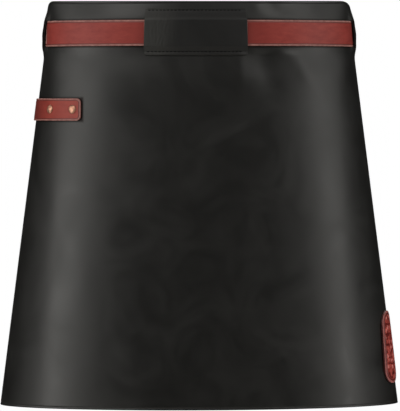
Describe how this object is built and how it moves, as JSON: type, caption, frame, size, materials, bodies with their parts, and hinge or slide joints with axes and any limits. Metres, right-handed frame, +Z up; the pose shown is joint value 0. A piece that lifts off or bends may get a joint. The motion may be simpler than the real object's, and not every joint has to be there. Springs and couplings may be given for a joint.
{
  "type": "leather waist apron",
  "caption": "Black leather half apron, bent as worn, with a red-brown belt through side slits and a front tunnel, a riveted towel loop at the hip and a small side label.",
  "frame": {"origin": "middle of the waist, at the belt's mid height", "axes": "+Z up as worn, the front faces -Y, +X to the right as seen from the front"},
  "size_m": [0.4658, 0.2369, 0.4677],
  "materials": {
    "black_leather": "semi-gloss black leather with a soft mottle",
    "red_leather": "smooth red-brown leather with pale cut edges",
    "brass": "polished warm brass"
  },
  "bodies": {
    "root": {"apron_panel": "black_leather", "belt": "red_leather", "belt_tunnel": "black_leather", "towel_loop": "red_leather", "towel_loop_rivet_1": "brass", "towel_loop_rivet_2": "brass", "side_label": "red_leather", "belt_clasp": "brass"}
  },
  "joints": []
}
